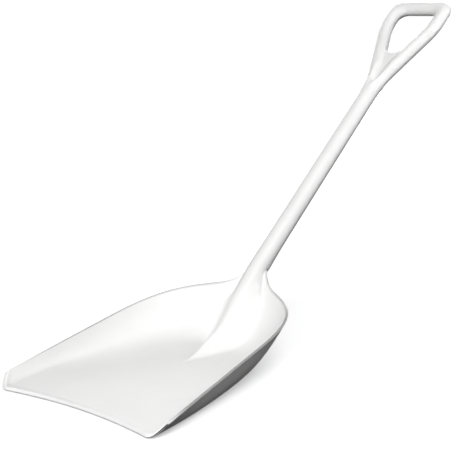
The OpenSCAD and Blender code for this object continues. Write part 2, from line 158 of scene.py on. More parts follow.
def smooth(t):
    """A smooth step from 0 to 1."""
    t = np.clip(t, 0.0, 1.0)
    return t * t * (3.0 - 2.0 * t)


def soft_max(a, b, k):
    """The higher of two heights, softly blended over k."""
    h = np.clip(0.5 + 0.5 * (a - b) / k, 0.0, 1.0)
    return b * (1.0 - h) + a * h + k * h * (1.0 - h)


def unit(v):
    """Vectors at length 1."""
    return v / np.maximum(1e-9, np.linalg.norm(v, axis=-1, keepdims=True))


def along(s, x=0.0, up=0.0):
    """Points in the shaft's frame: s along its axis, x across and up square to both."""
    s, x, up = (np.asarray(v, float)[..., None] for v in (s, x, up))
    return NECK + s * AXIS + x * ACROSS + up * AXIS_UP


# ---------------------------------------------------------------- outline of the pan


def rim_w(y):
    """Half width of the rim before its back curve."""
    return RIM_HALF_W - RIM_TAPER * y


def rim_pt(x, y):
    """A rim point from its plain outline position, with the sweep up to the shaft."""
    sweep = np.exp(-np.maximum(0.0, np.abs(x) - SWEEP_FLAT) / NECK_RUN)
    return np.stack([x, y + NECK_REACH * sweep, RIM_Z0 + RIM_RISE * y + NECK_RISE * sweep], -1)


def end_pt(a):
    """A point on the neck's round end face, a = 0 at the right side and a quarter turn on top."""
    return along(NECK_END, SHAFT_R * np.cos(a), SHAFT_R * np.sin(a))


def by_share(curve, share):
    """Points of a polyline at shares of its length."""
    run = np.concatenate([[0.0], np.cumsum(np.linalg.norm(np.diff(curve, axis=0), axis=1))])
    run /= run[-1]
    return np.stack([np.interp(share, run, curve[:, i]) for i in range(3)], -1)


def rim_half():
    """The right half of the rim, from the front to the shaft's side."""
    side_y = np.linspace(FRONT_RAKE, SHOULDER_Y, SIDE_N, endpoint=False)
    side = rim_pt(rim_w(side_y), side_y)
    a = np.linspace(0.0, math.acos(SHAFT_R / rim_w(SHOULDER_Y + SHOULDER_L)), CURVE_N)
    back_y = SHOULDER_Y + SHOULDER_L * np.sin(a) ** (2.0 / SHOULDER_Q)
    back = rim_pt(rim_w(back_y) * np.cos(a), back_y)
    return np.concatenate([side, back, end_pt([END_A0])])


def floor_half():
    """The right half of the flat floor's outline, from the front to the ridge."""
    a = np.linspace(0.0, math.acos((SHAFT_R / FLOOR_HALF_W) ** (1.0 / FLOOR_K)), CURVE_N)
    return np.stack([FLOOR_HALF_W * np.cos(a) ** FLOOR_K, FLOOR_L * np.sin(a), 0.0 * a], -1)


def floor_neck(x):
    """The floor's outline under the ridge, at distances x from the centre line."""
    c = (np.abs(x) / FLOOR_HALF_W) ** (1.0 / FLOOR_K)
    return np.stack([x, FLOOR_L * np.sqrt(1.0 - c**2), 0.0 * x], -1)


# ---------------------------------------------------------------- surface of the pan


def shaft_top(y):
    """Height of the shaft's top line, carried on below the neck."""
    return SHAFT_Z + math.tan(SHAFT_LIFT) * (y - NECK_Y) + SHAFT_R / math.cos(SHAFT_LIFT)


def crest_z(y):
    """Height of the ridge's crest: the shaft's line, then steeper down the back wall, then flatter."""
    back = shaft_top(CREST_BEND_Y) + CREST_BACK * (y - CREST_BEND_Y)
    low = FLOOR_T + CREST_LOW * (y - CREST_TIP_Y)
    return soft_max(-soft_max(-shaft_top(y), -back, CREST_BLEND), low, CREST_BLEND)


def crest_r(y):
    """Radius of the crest, growing from its tip to the shaft's radius."""
    t = np.clip((y - CREST_TIP_Y) / (CREST_BEND_Y - CREST_TIP_Y), 0.0, 1.0)
    return CREST_TIP_R + (SHAFT_R - CREST_TIP_R) * t


def ridge_z(x, y, u):
    """Height of the ridge: a round crest that turns into straight flanks, steeper toward the shaft."""
    x, r = np.abs(x), crest_r(y)
    m = RIDGE_FLANK + FLANK_STAND * u**STAND_POWER
    t = r * m / np.sqrt(1.0 + m * m)
    round_top = np.sqrt(np.maximum(0.0, r**2 - x**2))
    flank = np.sqrt(r**2 - t**2) - m * (x - t)
    return crest_z(y) - (r - np.where(x < t, round_top, flank)) / math.cos(SHAFT_LIFT)


def foot_z(x, y, u):
    """Height of the soft fillet where the floor turns up into the walls."""
    t = np.maximum(0.0, np.hypot(x / LEVEL_HALF_W, y / LEVEL_L) - 1.0) / FOOT_REACH
    return FOOT_LIFT * t * t * smooth(y / FOOT_FADE) * (1.0 - u) ** 2


def dress(x, y, z, u, lift):
    """The surface from plain points: the front edge's setback, the ridge and, with lift 1, the fillet."""
    dip = FRONT_DIP * np.maximum(0.0, 1.0 - (x / FLOOR_HALF_W) ** 2)
    dip = dip * np.maximum(0.0, 1.0 - y / DIP_L) ** 2
    blend = 1.0 + (RIDGE_BLEND - 1.0 + NECK_BLEND * u * u) * (1.0 - u**BLEND_POWER)
    z = soft_max(z + lift * foot_z(x, y, u), ridge_z(x, y, u), blend)
    return np.stack([x, y + dip, z], -1)


def normals(grid):
    """Upward unit normals of a grid of points."""
    n = np.cross(np.gradient(grid, axis=1), np.gradient(grid, axis=0))
    return unit(np.where(n[..., 2:3] < 0.0, -n, n))


def edge_drop(far, depth):
    """What a quarter round takes off the surface at a distance behind the front edge."""
    return depth * (1.0 - np.sqrt(1.0 - np.clip(1.0 - far / depth, 0.0, 1.0) ** 2))


def lip(share):
    """Height of the rounded bead along the front edge, for rows at a share of the way back."""
    far = FLOOR_L * share[:, None, None]
    return LIP_H * np.exp(-(((far - LIP_ROUND) / LIP_W) ** 2)) - edge_drop(far, LIP_ROUND)


def under_lip(share):
    """How far the underside turns up at the front edge."""
    return edge_drop(FLOOR_L * share[:, None, None], LOW_ROUND)


def wall_points(rim, low, u):
    """Plain wall points between the floor's outline and the rim; the front ends curve round."""
    power = 1.0 + np.maximum(0.0, 1.0 - COL_SHARE / CORNER_SHARE)[:, None]
    x = low[:, None, 0] + (rim[:, None, 0] - low[:, None, 0]) * u
    y = low[:, None, 1] + (rim[:, None, 1] - low[:, None, 1]) * u**power
    z = FLOOR_T + (rim[:, None, 2] - FLOOR_T) * (2.0 * u**3 - u**4)
    return x, y, z


def floor_points(side, neck):
    """Plain floor points between both sides, closer together in the middle."""
    k = 1.0 - 2.0 * np.arange(STEPS_K + 1) / STEPS_K
    spread = np.sign(k) * np.abs(k) ** FLOOR_CROWD
    x = np.concatenate([side[:, 0:1] * spread[None, :], neck[None, :, 0]])
    y = np.concatenate([np.repeat(side[:, 1:2], STEPS_K + 1, 1), neck[None, :, 1]])
    return x, y, np.full_like(x, FLOOR_T)


def floor_underside(flat):
    """The floor's underside: one thickness below, level on the ground, turned up at the front."""
    up = normals(flat)
    low = flat - FLOOR_T * up
    low[..., 2] = np.where(low[..., 2] < FLAT_TOL, 0.0, low[..., 2])
    return low + under_lip(ROW_SHARE) * up


def wall_underside(flat, u):
    """The walls' outside, which turns into the neck's round underside in the middle."""
    up = normals(flat)
    low = flat - (FLOOR_T + (RIM_T - FLOOR_T) * u)[..., None] * up + under_lip(COL_SHARE) * up
    opposite = flat - 2.0 * np.sqrt(np.maximum(0.0, SHAFT_R**2 - flat[..., 0:1] ** 2)) * AXIS_UP
    part = smooth((u - NECK_FROM) / NECK_OVER)[..., None]
    low[CENTRE] = (1.0 - part) * low[CENTRE] + part * opposite[CENTRE]
    low[..., 2] = np.maximum(0.0, low[..., 2])
    return low


def blade_grids():
    """Top and underside points of the floor grid and of the wall grid."""
    rim_side = by_share(rim_half(), ROW_SHARE)[:-1]
    floor_side = by_share(floor_half(), ROW_SHARE)[:-1]
    end_a = np.linspace(END_A0, math.pi - END_A0, STEPS_K + 1)
    neck = floor_neck(SHAFT_R * np.cos(end_a))
    rim = np.concatenate([rim_side, end_pt(end_a), rim_side[::-1] * MIRROR])
    low = np.concatenate([floor_side, neck, floor_side[::-1] * MIRROR])
    u = np.linspace(0.0, 1.0, STEPS_U + 1)[None, :]
    wall, floor = wall_points(rim, low, u), floor_points(floor_side, neck)
    floor_top, wall_top = dress(*floor, 0.0, 1.0), dress(*wall, u, 1.0)
    return (
        floor_top + lip(ROW_SHARE) * normals(floor_top),
        wall_top + lip(COL_SHARE) * normals(wall_top),
        floor_underside(dress(*floor, 0.0, 0.0)),
        wall_underside(dress(*wall, u, 0.0), u),
    )


# ---------------------------------------------------------------- mesh helpers


def new_piece(name, verts, faces, material, node, body="root"):
    """A smooth mesh object that stands for a CAD node, from points measured from the front edge."""
    mesh = bpy.data.meshes.new(name)
    pts = (verts - np.array([0.0, ORIGIN_Y, 0.0])) * MM
    mesh.from_pydata(pts.tolist(), [], [list(map(int, f)) for f in faces])
    mesh.validate()
    mesh.update()
    mesh.materials.append(material)
    mesh.shade_smooth()
    piece = bpy.data.objects.new(name, mesh)
    bpy.context.scene.collection.objects.link(piece)
    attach(piece, body)
    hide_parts(node)
    return piece


def ring_faces(a, b):
    """The strip of faces between two closed rings of points."""
    n = len(a)
    return [(a[i], a[(i + 1) % n], b[(i + 1) % n], b[i]) for i in range(n)]


def add_socket(verts, faces, ring, end, depth):
    """Adds a spigot's socket to a round end face; depth runs along the shaft's axis."""
    inward = unit(verts[ring] - end) * BORE_R
    base, n = len(verts), len(ring)
    mouth = list(range(base, base + n))
    bottom = list(range(base + n, base + 2 * n))
    for outer, inner in ((ring, mouth), (mouth, bottom)):
        faces += [(b, a, d, c) for a, b, c, d in ring_faces(outer, inner)]
    faces.append(tuple(bottom))
    return np.concatenate([verts, end + inward, end + depth * AXIS + inward]), [ring, mouth, bottom]


def tidy_mesh(piece, weld=0.0):
    """Merges points closer than weld, drops loose points and makes the faces point outward."""
    bm = bmesh.new()
    bm.from_mesh(piece.data)
    if weld:
        bmesh.ops.remove_doubles(bm, verts=bm.verts, dist=weld * MM)
        bmesh.ops.dissolve_degenerate(bm, dist=weld * MM, edges=bm.edges)
    bmesh.ops.delete(bm, geom=[v for v in bm.verts if not v.link_faces], context="VERTS")
    bmesh.ops.recalc_face_normals(bm, faces=bm.faces)
    bm.to_mesh(piece.data)
    bm.free()


def sharp_by_angle(piece, degrees):
    """Keeps creases steeper than the angle sharp."""
    bm = bmesh.new()
    bm.from_mesh(piece.data)
    limit = math.radians(degrees)
    for e in bm.edges:
        e.smooth = len(e.link_faces) == 2 and e.calc_face_angle(0.0) < limit
    bm.to_mesh(piece.data)
    bm.free()


def sharp_rings(piece, rings):
    """Marks closed rings of edges as sharp."""
    wanted = {tuple(sorted((r[i], r[(i + 1) % len(r)]))) for r in rings for i in range(len(r))}
    for edge in piece.data.edges:
        if tuple(sorted(edge.vertices)) in wanted:
            edge.use_edge_sharp = True


def mark_rims(piece, lines):
    """Marks the rim's edges for rounding and its points for a painted shade line, from the front corners
    to the neck.
    """
    mesh = piece.data
    # A point attribute that carries the painted shade along the rim's edge.
    rim_shade = mesh.attributes.new(RIM_SHADE_NAME, "FLOAT", "POINT")
    weight = mesh.attributes.new("bevel_weight_edge", "FLOAT", "EDGE")
    pairs = {tuple(sorted(pair)) for line in lines for pair in zip(line, line[1:])}
    rounded = pairs | {(a + N_SIDE, b + N_SIDE) for a, b in pairs}
    for edge in mesh.edges:
        weight.data[edge.index].value = float(tuple(sorted(edge.vertices)) in rounded)
    for line in lines:
        for place, v in enumerate(line):
            to_neck = smooth((len(line) - 1 - place) / RIM_SHADE_FADE)
            amount = smooth(place / RIM_SHADE_FADE) * (NECK_RIM_SHADE + (1.0 - NECK_RIM_SHADE) * to_neck)
            rim_shade.data[v].value = amount
            rim_shade.data[v + N_SIDE].value = amount


def round_rims(piece):
    """Rounds the marked edges and weights the shading by the faces' size."""
    bevel = piece.modifiers.new("rounded edges", "BEVEL")
    bevel.limit_method = "WEIGHT"
    bevel.width = RIM_ROUND * MM
    bevel.segments = RIM_SEGMENTS
    weighted = piece.modifiers.new("face weighted shading", "WEIGHTED_NORMAL")
    weighted.keep_sharp = True


def settle(piece, node):
    """Applies the modifiers and keeps the finished mesh inside the CAD node's box."""
    bpy.context.view_layer.update()
    evaluated = piece.evaluated_get(bpy.context.evaluated_depsgraph_get())
    mesh = bpy.data.meshes.new_from_object(evaluated)
    piece.modifiers.clear()
    piece.data = mesh
    low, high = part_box(node)
    co = np.empty(len(mesh.vertices) * 3, np.float32)
    mesh.vertices.foreach_get("co", co)
    co = np.clip(co.reshape(-1, 3), np.array(low), np.array(high)).astype(np.float32)
    mesh.vertices.foreach_set("co", co.ravel())
    mesh.update()


# ---------------------------------------------------------------- blade


def floor_id(j, k):
    """Number of a floor point in row j and column k."""
    return j * (STEPS_K + 1) + k


def wall_id(c, i):
    """Number of a wall point in column c and row i; row 0 is the floor grid's edge."""
    if i > 0:
        return N_FLOOR + c * STEPS_U + i - 1
    if c <= STEPS_V:
        return floor_id(c, 0)
    if c < STEPS_V + STEPS_K:
        return floor_id(STEPS_V, c - STEPS_V)
    return floor_id(COLS - 1 - c, STEPS_K)


def shell_faces(edge):
    """Faces of the top and of the underside, and the strip between them along the edge."""
    top = [(floor_id(j, k), floor_id(j + 1, k), floor_id(j + 1, k + 1), floor_id(j, k + 1))
           for j in range(STEPS_V) for k in range(STEPS_K)]
    top += [(wall_id(c, i + 1), wall_id(c + 1, i + 1), wall_id(c + 1, i), wall_id(c, i))
            for c in range(COLS - 1) for i in range(STEPS_U)]
    low = [tuple(v + N_SIDE for v in reversed(f)) for f in top]
    return top + low + [(a + N_SIDE, b + N_SIDE, b, a) for a, b in zip(edge, edge[1:])]


def blade_piece(material):
    """The pan with its ridge, its neck and the neck's socket."""
    floor_top, wall_top, floor_low, wall_low = blade_grids()
    verts = np.concatenate([
        floor_top.reshape(-1, 3), wall_top[:, 1:].reshape(-1, 3),
        floor_low.reshape(-1, 3), wall_low[:, 1:].reshape(-1, 3),
    ])
    right = [wall_id(c, STEPS_U) for c in range(STEPS_V + 1)]
    left = [wall_id(c, STEPS_U) for c in range(COLS - 1, COLS - 2 - STEPS_V, -1)]
    front = [wall_id(0, i) for i in range(STEPS_U, 0, -1)]
    front += [floor_id(0, k) for k in range(STEPS_K + 1)]
    front += [wall_id(COLS - 1, i) for i in range(1, STEPS_U + 1)]
    faces = shell_faces(right[::-1] + front[1:] + left[1:])
    neck_top = [wall_id(c, STEPS_U) for c in range(STEPS_V, STEPS_V + STEPS_K + 1)]
    neck_ring = neck_top + [v + N_SIDE for v in reversed(neck_top)]
    verts, rings = add_socket(verts, faces, neck_ring, along(NECK_END), -SPIGOT_HALF)
    piece = new_piece("scoop_pan", verts, faces, material, "blade")
    mark_rims(piece, (right, left))
    sharp_rings(piece, rings)
    tidy_mesh(piece)
    round_rims(piece)
    settle(piece, "blade")


# ---------------------------------------------------------------- shaft


def lower_h(h, flat):
    """Depth of a section's lower half where its upper half is h high: creased at the sides, full below."""
    return SHAFT_R * (np.hypot(h, flat) - flat) / (math.hypot(SHAFT_R, flat) - flat)


def shaft_rings():
    """Rings of the tube from the neck to the grip outside, and then the bore's two ends."""
    top = np.linspace(0.0, math.pi, HALF_N)
    low = np.linspace(math.pi, 2.0 * math.pi, HALF_N)
    near = np.linspace(NECK_END, NECK_END + LEDGE_RUN, NEAR_N)
    far = np.linspace(NECK_END + LEDGE_RUN + FAR_GAP, SHAFT_END, FAR_N)
    rings = []
    for s in np.concatenate([near, far]):
        away = float(smooth((s - NECK_END) / LEDGE_RUN))
        low_r = SHAFT_R - LEDGE * away
        depth = lower_h(low_r * np.abs(np.sin(low)), LOWER_FLAT * away + 1e-6)
        x = np.concatenate([SHAFT_R * np.cos(top), low_r * np.cos(low)])
        rings.append(along(s, x, np.concatenate([SHAFT_R * np.sin(top), -depth])))
    a = np.concatenate([top, low])
    rings += [along(s, BORE_R * np.cos(a), BORE_R * np.sin(a)) for s in (SHAFT_END, NECK_END)]
    return rings


def shaft_piece(material):
    """A hollow tube whose two halves meet in a fine parting ledge along both sides."""
    rings = shaft_rings()
    n = len(rings[0])
    ids = [list(range(i * n, (i + 1) * n)) for i in range(len(rings))]
    faces = [f for a, b in zip(ids, ids[1:] + ids[:1]) for f in ring_faces(a, b)]
    piece = new_piece("shaft_tube", np.concatenate(rings), faces, material, "shaft")
    tidy_mesh(piece, WELD)
    sharp_by_angle(piece, SHAFT_CREASE)
    settle(piece, "shaft")
    tidy_mesh(piece, WELD_CLIPPED)


# ---------------------------------------------------------------- grip


def yoke_line(s):
    """The arms' outer side, carried on down the yoke."""
    return ROOT_X + GRIP_R * COS_T + (s - EDGE_S) * math.tan(ARM_TILT)


def yoke_w(s):
    """Half width of the yoke."""
    return soft_max(SHAFT_R, yoke_line(s), YOKE_BLEND)


def round_h(r, d):
    """Height of a round section at a distance d from its middle."""
    return np.sqrt(np.maximum(0.0, r * r - d * d))


def recess_h(x, s):
    """Height of the recess's floor, which starts on the sleeve and runs out toward the arms."""
    floor = WEB_T / 2.0 + (SHAFT_R - WEB_T / 2.0) * (1.0 - smooth((s - RECESS_S) / RECESS_RUN))
    half_w = RECESS_W + RECESS_FLARE * np.maximum(0.0, s - RECESS_S)
    floor = floor + RECESS_RISE * (x / half_w) ** 2
    out = GRIP_R * smooth((s - RECESS_OUT) / RECESS_OUT_RUN)
    return np.where(s < RECESS_S, CLEAR_H, floor + out)


def yoke_h(x, s):
    """Half thickness of the yoke between the sleeve, the arms and the opening."""
    xe = x * np.maximum(SHAFT_R, yoke_line(s)) / yoke_w(s)
    from_side = yoke_line(s) - np.abs(xe)
    sleeve = round_h(SHAFT_R * (1.0 - smooth((s - FADE_S) / FADE_L)), xe)
    arm_d = np.abs((np.abs(xe) - ARM_HALF_W) * COS_T - (s - ARM_END) * SIN_T)
    arm = np.where(s > ARM_START, round_h(GRIP_R, arm_d), 0.0)
    web = WEB_T / 2.0 * smooth((from_side - WEB_INSET) / WEB_SLOPE)
    join = np.minimum(1.0, np.maximum(0.0, from_side) / SIDE_RUN)
    body = soft_max(sleeve, arm, NO_BLEND + ARM_JOIN * join)
    body = soft_max(body, web, NO_BLEND + WEB_JOIN * join)
    body = -soft_max(-body, -recess_h(x, s), RECESS_BLEND)
    d = np.maximum(0.0, np.hypot(x, s - OPENING_C) - OPENING_R)
    rounding = np.where(d < GRIP_R, round_h(GRIP_R, GRIP_R - np.minimum(d, GRIP_R)), CLEAR_H)
    join = np.minimum(1.0, d / OPENING_RUN)
    return -soft_max(-rounding, -body, NO_BLEND + OPENING_JOIN * join)


def stem_sides(c):
    """Inner point, outer point and outer height of station c, from the sleeve's end to the arm's root."""
    a = -math.pi / 2.0 + (math.pi / 2.0 - ARM_TILT) * c / STEM
    inner = np.array([OPENING_R * math.cos(a), OPENING_C + OPENING_R * math.sin(a)])
    if c < STEPS_E:
        t = math.pi / 2.0 * c / STEPS_E
        return inner, np.array([SHAFT_R * math.sin(t), SHAFT_END]), SHAFT_R * math.cos(t)
    if c == STEPS_E:
        return inner, np.array([SHAFT_R, SHAFT_END]), 0.0
    s = SHAFT_END + (EDGE_S - SHAFT_END) * (c - STEPS_E) / STEPS_B
    return inner, np.array([float(yoke_w(s)), s]), 0.0


def bar_sides(x, s, lean):
    """Inner and outer point of the round bar at a leaning station of its middle line."""
    reach = GRIP_R * np.array([math.cos(lean), -math.sin(lean)])
    return np.array([x, s]) - reach, np.array([x, s]) + reach


def corner_sides(a):
    """Inner and outer point in a top corner, a = 0 at the arm and a quarter turn at the hand bar."""
    middle = np.array([LOOP_X, BAR_S])
    turn = np.array([math.cos(a), math.sin(a)])
    inner = middle - CORNER_R + (CORNER_R - GRIP_R) * turn
    return inner, middle + GRIP_R - CORNER_OUT_R + CORNER_OUT_R * turn


def loop_path():
    """Inner and outer points of the round bar's right half: arm, bend, corner and hand bar."""
    sides = [bar_sides(ROOT_X + (ARM_HALF_W - ROOT_X) * t, ROOT_S + (ARM_END - ROOT_S) * t, ARM_TILT)
             for t in np.linspace(0.0, 1.0, ARM_N)]
    sides += [bar_sides(BEND_X + ARM_BEND_R * math.cos(a), BEND_S - ARM_BEND_R * math.sin(a), a)
              for a in np.linspace(ARM_TILT, 0.0, BEND_N)[1:]]
    sides += [corner_sides(a) for a in np.linspace(0.0, math.pi / 2.0, CORNER_N)]
    inner, outer = sides[-1]
    sides += [(inner * [1.0 - t, 1.0], outer * [1.0 - t, 1.0])
              for t in np.linspace(0.0, 1.0, BAR_N)[1:]]
    return sides


def grip_stations():
    """Upper half sections round the whole grip: points across, along the shaft and up."""
    b = np.linspace(0.0, math.pi, STEPS_M + 1)
    w = (1.0 - np.cos(b))[:, None] / 2.0
    half = []
    for c in range(STEM):
        inner, outer, end_h = stem_sides(c)
        p = inner * (1.0 - w) + outer * w
        h = yoke_h(p[:, 0], p[:, 1])
        h[0], h[-1] = 0.0, end_h
        half.append(np.column_stack([p, h]))
    for inner, outer in loop_path():
        half.append(np.column_stack([inner * (1.0 - w) + outer * w, GRIP_R * np.sin(b)]))
    half = np.array(half)
    return np.concatenate([half, half[-2:0:-1] * MIRROR])


def grip_faces(n_ring):
    """Faces of the upper and lower halves, and the ring round the sleeve's end face."""
    rows = STEPS_M + 1

    def on_end(c):
        return c < STEPS_E or c > n_ring - STEPS_E

    def up_id(c, r):
        return (c % n_ring) * rows + r

    def dn_id(c, r):
        if r == 0 or (r == STEPS_M and not on_end(c % n_ring)):
            return up_id(c, r)
        return up_id(c, r) + n_ring * rows

    faces = []
    for c in range(n_ring):
        for r in range(STEPS_M):
            faces.append((up_id(c, r), up_id(c + 1, r), up_id(c + 1, r + 1), up_id(c, r + 1)))
            faces.append((dn_id(c, r + 1), dn_id(c + 1, r + 1), dn_id(c + 1, r), dn_id(c, r)))
    end = list(range(n_ring - STEPS_E, n_ring)) + list(range(STEPS_E + 1))
    ring = [up_id(c, STEPS_M) for c in end] + [dn_id(c, STEPS_M) for c in end[-2:0:-1]]
    return faces, ring


def grip_piece(material):
    """The sleeve, yoke, arms and hand bar as one smooth moulding."""
    stations = grip_stations()
    x, s, h = stations.reshape(-1, 3).T
    verts = np.concatenate([along(s, x, h), along(s, x, -lower_h(h, LOWER_FLAT))])
    faces, end_ring = grip_faces(len(stations))
    verts, _ = add_socket(verts, faces, end_ring, along(SHAFT_END), SPIGOT_HALF)
    piece = new_piece("d_grip", verts, faces, material, "grip")
    tidy_mesh(piece)
    sharp_by_angle(piece, GRIP_CREASE)
    settle(piece, "grip")


# ---------------------------------------------------------------- materials

# Mottle: pattern size and detail, its darker shade, its pull on the roughness, and the part of the
# pattern's range over which the colour and the gloss change.
MOTTLE_SIZE, MOTTLE_DETAIL, MOTTLE_SHADE, MOTTLE_GLOSS = 9.0, 4.0, 0.965, 0.03
TINT_FROM, TINT_TO = 0.35, 0.65
GLOSS_FROM, GLOSS_TO = 0.3, 0.7

# Scuffs: fine streaks that add roughness where the pattern is strongest.
SCUFF_SIZE, SCUFF_DETAIL, SCUFF_STRETCH, SCUFF_ROUGH = 60.0, 6.0, (1.0, 0.12, 1.0), 0.12
SCUFF_FROM, SCUFF_TO = 0.58, 0.75

# Orange peel and slow waves: pattern size, detail, and bump distance in metres.
PEEL_SIZE, PEEL_DETAIL, PEEL_DISTANCE = 700.0, 3.0, 0.0004
WAVE_SIZE, WAVE_DETAIL, WAVE_DISTANCE, WAVE_STRENGTH = 14.0, 1.0, 0.002, 0.05

PLASTIC_IOR = 1.49
WHITE, GREY, FOAM = (0.86, 0.86, 0.855), (0.55, 0.55, 0.56), (0.85, 0.83, 0.74)


def noise(tree, size, detail, stretch=(1.0, 1.0, 1.0)):
    """A noise pattern fixed to the object."""
    where = tree.nodes.new("ShaderNodeTexCoord")
    place = tree.nodes.new("ShaderNodeMapping")
    place.inputs["Scale"].default_value = stretch
    tree.links.new(where.outputs["Object"], place.inputs["Vector"])
    pattern = tree.nodes.new("ShaderNodeTexNoise")
    pattern.inputs["Scale"].default_value = size
    pattern.inputs["Detail"].default_value = detail
    tree.links.new(place.outputs["Vector"], pattern.inputs["Vector"])
    return pattern.outputs["Fac"]


def ramp(tree, value, low, high, a, b):
    """Maps a value from low..high to a..b."""
    node = tree.nodes.new("ShaderNodeMapRange")
    for name, number in (("From Min", low), ("From Max", high), ("To Min", a), ("To Max", b)):
        node.inputs[name].default_value = number
    tree.links.new(value, node.inputs["Value"])
    return node


def colour_mix(tree, factor):
    """A node that mixes two colours by a factor."""
    mix = tree.nodes.new("ShaderNodeMix")
    mix.data_type = "RGBA"
    tree.links.new(factor, mix.inputs["Factor"])
    return mix


def bump(tree, height, strength, distance):
    """A node that bends the shading by a pattern's height."""
    node = tree.nodes.new("ShaderNodeBump")
    node.inputs["Strength"].default_value = strength
    node.inputs["Distance"].default_value = distance
    tree.links.new(height, node.inputs["Height"])
    return node


def shade_of(colour, share=1.0):
    """A colour at a share of its brightness, as a socket takes it."""
    return (*[c * share for c in colour], 1.0)


def moulded_plastic(name, colour, roughness, grain):
    """Moulded plastic: a faint mottle, uneven gloss, light scuffs, fine orange peel and slow waves."""
    mat = bpy.data.materials.new(name)
    mat.use_nodes = True
    tree = mat.node_tree
    shader = tree.nodes["Principled BSDF"]
    shader.inputs["IOR"].default_value = PLASTIC_IOR

    mottle = noise(tree, MOTTLE_SIZE, MOTTLE_DETAIL)
    tint = colour_mix(tree, ramp(tree, mottle, TINT_FROM, TINT_TO, 0.0, 1.0).outputs["Result"])
    tint.inputs["A"].default_value = shade_of(colour, MOTTLE_SHADE)
    tint.inputs["B"].default_value = shade_of(colour)
    tree.links.new(tint.outputs["Result"], shader.inputs["Base Color"])

    scuffs = noise(tree, SCUFF_SIZE, SCUFF_DETAIL, SCUFF_STRETCH)
    low, high = roughness - MOTTLE_GLOSS, roughness + MOTTLE_GLOSS
    plain = ramp(tree, mottle, GLOSS_FROM, GLOSS_TO, low, high)
    scuffed = ramp(tree, scuffs, SCUFF_FROM, SCUFF_TO, 0.0, SCUFF_ROUGH)
    gloss = tree.nodes.new("ShaderNodeMath")
    gloss.operation = "ADD"
    tree.links.new(plain.outputs["Result"], gloss.inputs[0])
    tree.links.new(scuffed.outputs["Result"], gloss.inputs[1])
    tree.links.new(gloss.outputs["Value"], shader.inputs["Roughness"])

    waves = bump(tree, noise(tree, WAVE_SIZE, WAVE_DETAIL), WAVE_STRENGTH, WAVE_DISTANCE)
    peel = bump(tree, noise(tree, PEEL_SIZE, PEEL_DETAIL), grain, PEEL_DISTANCE)
    tree.links.new(waves.outputs["Normal"], peel.inputs["Normal"])
    tree.links.new(peel.outputs["Normal"], shader.inputs["Normal"])
    return mat


def white_polypropylene():
    """The shovel's white plastic, with a painted shade line that makes the pan's rim greyer."""
    mat = moulded_plastic("white_polypropylene", WHITE, roughness=0.38, grain=0.02)
    tree = mat.node_tree
    base = tree.nodes["Principled BSDF"].inputs["Base Color"]
    clean = base.links[0].from_socket
    # Painted shade: the rim's attribute mixes in a darker grey of the same white.
    rim_shade = tree.nodes.new("ShaderNodeAttribute")
    rim_shade.attribute_name = RIM_SHADE_NAME
    shaded_rim = colour_mix(tree, rim_shade.outputs["Fac"])
    shaded_rim.inputs["B"].default_value = shade_of(WHITE, RIM_SHADE_GREY)
    tree.links.new(clean, shaded_rim.inputs["A"])
    tree.links.new(shaded_rim.outputs["Result"], base)
    return mat


def spigot_plastic():
    """The spigots' plain grey plastic."""
    return moulded_plastic("spigot_plastic", GREY, roughness=0.5, grain=0.02)


def core_foam():
    """The shaft's cream foam, duller and with a coarse grain."""
    return moulded_plastic("core_foam", FOAM, roughness=0.8, grain=0.4)


# ---------------------------------------------------------------- camera

VIEW_AZ, VIEW_DOWN, VIEW_ROLL = math.radians(38.879), math.radians(12.849), math.radians(-0.962)
VIEW_AT = (1.1030, -1.1423, 0.6124)
VIEW_LENS, VIEW_SENSOR, VIEW_FAR = 83.6, 36.0, 200.0


def make_camera():
    """The camera at the shovel's front right, rolled a little about its view."""
    data = bpy.data.cameras.new("camera")
    data.sensor_width = VIEW_SENSOR
    data.lens = VIEW_LENS
    data.clip_end = VIEW_FAR
    camera = bpy.data.objects.new("camera", data)
    bpy.context.scene.collection.objects.link(camera)
    cos_az, sin_az, cos_down = math.cos(VIEW_AZ), math.sin(VIEW_AZ), math.cos(VIEW_DOWN)
    ahead = Vector((-sin_az * cos_down, cos_az * cos_down, -math.sin(VIEW_DOWN)))
    level = Vector((cos_az, sin_az, 0.0))
    above = level.cross(ahead)
    right = level * math.cos(VIEW_ROLL) + above * math.sin(VIEW_ROLL)
    up = above * math.cos(VIEW_ROLL) - level * math.sin(VIEW_ROLL)
    turn = Matrix((right, up, -ahead)).transposed().to_4x4()
    turn.translation = Vector(VIEW_AT)
    camera.matrix_world = turn
    bpy.context.scene.camera = camera


# ---------------------------------------------------------------- studio

# Soft boxes: name, azimuth from the front and height in degrees, size in metres and power in watts.
LIGHT_AT, LIGHT_FAR = (0.0, 0.2, 0.1), 4.5
LIGHTS = [
    ("front softbox", 5.0, 20.0, 2.2, 162.0),
    ("front right softbox", 45.0, 45.0, 2.2, 52.0),
    ("overhead softbox", 90.0, 68.0, 2.2, 44.0),
    ("back right softbox", 135.0, 45.0, 2.2, 26.0),
    ("back left fill", 225.0, 20.0, 2.2, 30.0),
    ("low back fill", 205.0, 7.0, 2.2, 75.0),
]
HANDLE_LIGHT_AT, HANDLE_LIGHT_TO = (0.9, 1.1, 0.75), (0.0, 0.7, 0.45)
HANDLE_LIGHT_SIZE, HANDLE_LIGHT_WATTS = 0.5, 4.0
WORLD_STRENGTH = 0.02

# Floor: its glow rises from near the shovel to white far from it. Sizes and distances in metres.
FLOOR_SIZE, FLOOR_Z, FLOOR_COLOUR, FLOOR_ROUGH = 120.0, -0.0004, (0.88, 0.88, 0.885), 0.9
GLOW_NEAR, GLOW_FAR = 0.37, 1.0
GLOW_FROM, GLOW_TO = 0.45, 1.2

# White wall all round, and the grey board under the floor that bounces light up.
WALL_FAR, WALL_SEGMENTS, WALL_RINGS = 55.0, 64, 32
BOARD_SIZE, BOARD_Z, BOARD_SHADE = 30.0, -0.0006, 0.25


